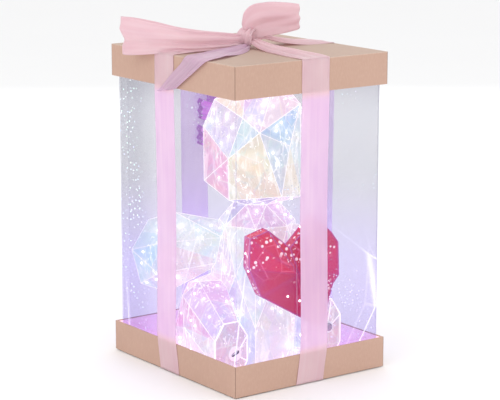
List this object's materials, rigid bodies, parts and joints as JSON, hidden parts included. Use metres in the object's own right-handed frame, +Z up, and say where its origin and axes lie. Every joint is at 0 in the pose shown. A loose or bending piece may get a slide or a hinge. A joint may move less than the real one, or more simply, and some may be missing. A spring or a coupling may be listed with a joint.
{
  "type": "light-up faceted bear in gift display case",
  "caption": "Light-up bear of folded iridescent film holding a red heart, in a clear display sleeve with a card tray and lift-off lid, tied with a satin ribbon and bow",
  "frame": {"origin": "middle of the flat underside of the card tray", "axes": "+Z up; the window the bear faces is at -Y; +X is to the right seen from that window"},
  "size_m": [0.1938, 0.2177, 0.343],
  "materials": {
    "wrapped_card": "matt, rose-beige wrapped card",
    "white_card": "pale lilac lining card",
    "clear_sleeve": "clear glossy film sheet",
    "satin_ribbon": "thin pink satin",
    "heart_film": "glossy translucent crimson film",
    "iridescent_film": "glossy iridescent film, lit from inside",
    "white_plastic": "gloss white",
    "socket_steel": "drawn steel",
    "button_metal": "metallised grey",
    "black_plastic": "matt black",
    "circuit_board": "green solder mask",
    "battery_wrap": "shrink wrap",
    "lead_insulation": "soft white insulation",
    "light_wire": "enamelled copper",
    "light_bead": "clear lit resin"
  },
  "bodies": {
    "root": {"base_tray": "wrapped_card", "battery_holder": "black_plastic", "battery_pack": "battery_wrap", "board_chips": "black_plastic", "button_lead": "lead_insulation", "button_leg_lights_beads": "light_bead", "button_leg_lights_wire": "light_wire", "button_leg_shell": "iridescent_film", "button_ring": "white_plastic", "button_sole_panel": "iridescent_film", "button_switch": "black_plastic", "charging_socket": "socket_steel", "control_board": "circuit_board", "display_sleeve": "clear_sleeve", "ear_left_shell": "iridescent_film", "ear_right_shell": "iridescent_film", "head_lights_beads": "light_bead", "head_lights_wire": "light_wire", "head_shell": "iridescent_film", "heart_arm_shell": "iridescent_film", "heart_back_shell": "heart_film", "heart_front_shell": "heart_film", "heart_lights_beads": "light_bead", "heart_lights_wire": "light_wire", "ribbon_strap_front": "satin_ribbon", "ribbon_strap_left": "satin_ribbon", "ribbon_strap_rear": "satin_ribbon", "ribbon_strap_right": "satin_ribbon", "socket_board": "circuit_board", "socket_disc": "white_plastic", "socket_lead": "lead_insulation", "socket_leg_lights_beads": "light_bead", "socket_leg_lights_wire": "light_wire", "socket_leg_shell": "iridescent_film", "socket_sole_panel": "iridescent_film", "socket_tongue": "black_plastic", "spread_arm_lights_beads": "light_bead", "spread_arm_lights_wire": "light_wire", "spread_arm_shell": "iridescent_film", "switch_board": "circuit_board", "torso_lights_beads": "light_bead", "torso_lights_wire": "light_wire", "torso_shell": "iridescent_film", "tray_liner": "white_card"},
    "lid": {"lid": "wrapped_card", "lid_liner": "white_card", "ribbon_top_cross": "satin_ribbon", "bow_knot": "satin_ribbon", "bow_loop_side": "satin_ribbon", "bow_loop_upright": "satin_ribbon", "bow_tail_front": "satin_ribbon", "bow_tail_rear": "satin_ribbon"},
    "button": {"power_button": "button_metal"}
  },
  "joints": [
    {"name": "lid_lift", "type": "slide", "parent": "root", "child": "lid", "axis": [0, 0, 1], "range_m": [0, 0.125]},
    {"name": "button_press", "type": "slide", "parent": "root", "child": "button", "axis": [0, 1, 0], "range_m": [0, 0.0012], "stiffness_N_per_m": 400}
  ]
}
